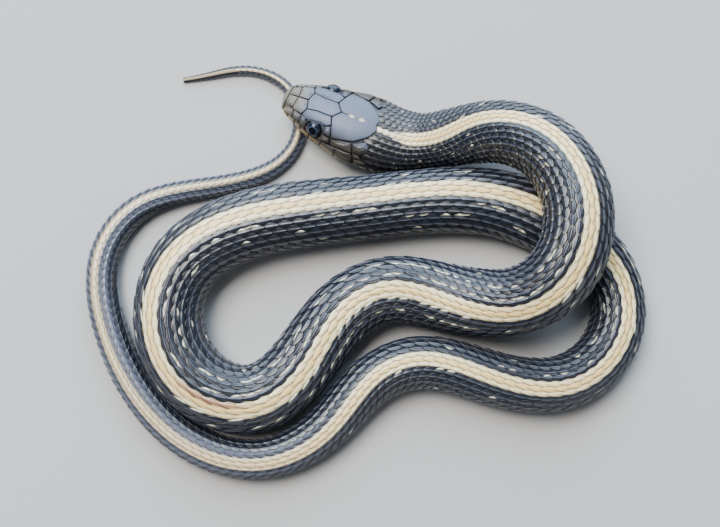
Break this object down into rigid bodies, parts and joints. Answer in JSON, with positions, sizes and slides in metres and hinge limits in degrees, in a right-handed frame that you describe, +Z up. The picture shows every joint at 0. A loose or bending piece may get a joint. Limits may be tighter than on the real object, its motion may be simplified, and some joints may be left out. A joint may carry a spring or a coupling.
{
  "type": "garter snake",
  "caption": "Still, life-size model of a slender dark garter snake with a pale back stripe, lying in loose coils with its neck raised over its own body and its head above its tail tip.",
  "frame": {"origin": "On the ground, below the middle of the coils", "axes": "+X along the longer side of the coils, towards the bend where the body passes under the raised neck; +Y across the coils, towards the head; +Z up"},
  "size_m": [0.109, 0.0833, 0.0228],
  "materials": {
    "back_skin": "satin, dark blue-grey keeled scales with a pale stripe along the back",
    "head_skin": "satin, olive-grey head shields",
    "chin_skin": "satin, pale yellow-grey chin",
    "eye": "glossy, nearly black"
  },
  "bodies": {
    "root": {"head": "head_skin", "lower_jaw": "chin_skin", "eye_left": "eye", "eye_right": "eye", "neck": "back_skin", "torso_1": "back_skin", "torso_2": "back_skin", "torso_3": "back_skin", "torso_4": "back_skin", "torso_5": "back_skin", "torso_6": "back_skin", "torso_7": "back_skin", "torso_8": "back_skin", "torso_9": "back_skin", "torso_10": "back_skin", "torso_11": "back_skin", "tail_1": "back_skin", "tail_2": "back_skin", "tail_3": "back_skin", "tail_4": "back_skin", "tail_5": "back_skin"}
  },
  "joints": []
}
